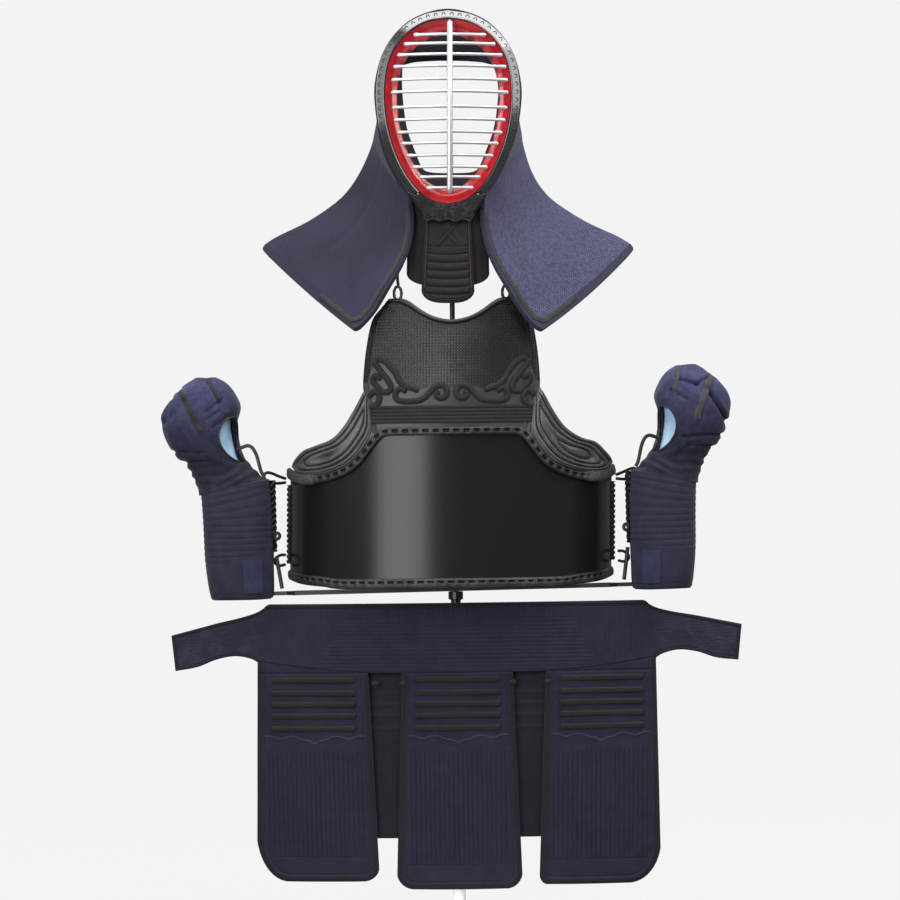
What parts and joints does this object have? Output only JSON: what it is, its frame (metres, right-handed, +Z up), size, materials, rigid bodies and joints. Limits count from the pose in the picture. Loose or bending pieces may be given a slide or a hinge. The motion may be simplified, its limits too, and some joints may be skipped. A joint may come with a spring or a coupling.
{
  "type": "kendo armour on a display stand",
  "caption": "Quilted helmet with barred face, lacquered chest armour, gauntlets and hanging waist panels, set out on an upright stand.",
  "frame": {"origin": "centre of the base plate's underside, on the floor", "axes": "+Z up; -Y is the side the armour faces; +X to the viewer's right when the armour faces the viewer"},
  "size_m": [0.8242, 0.2412, 1.3255],
  "materials": {
    "indigo_cloth": "quilted cotton dyed dark blue, close rows of stitching",
    "dark_cloth": "quilted cotton dyed blue-black",
    "face_cloth": "soft very dark cotton",
    "black_leather": "black leather, lacquered on the rims",
    "chest_leather": "black leather with a fine woven texture and a raised cloud scroll",
    "red_lacquer": "glossy red lacquer",
    "bar_metal": "bright metal bars",
    "black_lacquer": "very glossy black lacquer",
    "palm_leather": "light blue soft leather",
    "braid": "flat braid, brown-black",
    "cord": "tight twisted black cord",
    "stand_metal": "black paint",
    "pale_paint": "pale grey paint"
  },
  "bodies": {
    "root": {"do_barrel": "black_lacquer", "do_bottom_rim": "black_leather", "do_chest": "chest_leather", "do_loop_left": "black_leather", "do_loop_right": "black_leather", "do_lower_cord_left": "cord", "do_lower_cord_right": "cord", "do_ridge_band": "black_leather", "do_shoulder_pad_left": "black_leather", "do_shoulder_pad_right": "black_leather", "do_side_lacing_left": "braid", "do_side_lacing_right": "braid", "do_top_cord_left": "cord", "do_top_cord_right": "cord", "do_top_rim": "black_leather", "do_upper_cord_left": "cord", "do_upper_cord_right": "cord", "kote_cuff_left": "indigo_cloth", "kote_cuff_right": "indigo_cloth", "kote_fist_left": "indigo_cloth", "kote_fist_right": "indigo_cloth", "kote_label_left": "indigo_cloth", "kote_label_right": "indigo_cloth", "kote_lace_end_left": "cord", "kote_lace_end_right": "cord", "kote_lacing_left": "cord", "kote_lacing_right": "cord", "kote_palm_left": "palm_leather", "kote_palm_right": "palm_leather", "kote_wrist_loop_left": "cord", "kote_wrist_loop_right": "cord", "men_braid_left": "braid", "men_braid_right": "braid", "men_chin_piece": "black_leather", "men_cloth": "indigo_cloth", "men_face_frame": "red_lacquer", "men_face_pad": "face_cloth", "men_grille": "bar_metal", "men_rim": "black_leather", "men_throat_flap_inner": "face_cloth", "men_throat_flap_outer": "face_cloth", "stand_base": "pale_paint", "stand_column": "pale_paint", "stand_head_rest": "stand_metal", "stand_shelf": "stand_metal", "stand_tare_bar": "stand_metal", "stand_upright": "stand_metal", "stand_yoke": "stand_metal", "tare_belt": "dark_cloth", "tare_braids_centre": "braid", "tare_braids_left": "braid", "tare_braids_right": "braid", "tare_inner_panel_left": "dark_cloth", "tare_inner_panel_right": "dark_cloth", "tare_panel_centre": "indigo_cloth", "tare_panel_left": "indigo_cloth", "tare_panel_right": "indigo_cloth", "tare_strap_left": "dark_cloth", "tare_strap_right": "dark_cloth"}
  },
  "joints": []
}
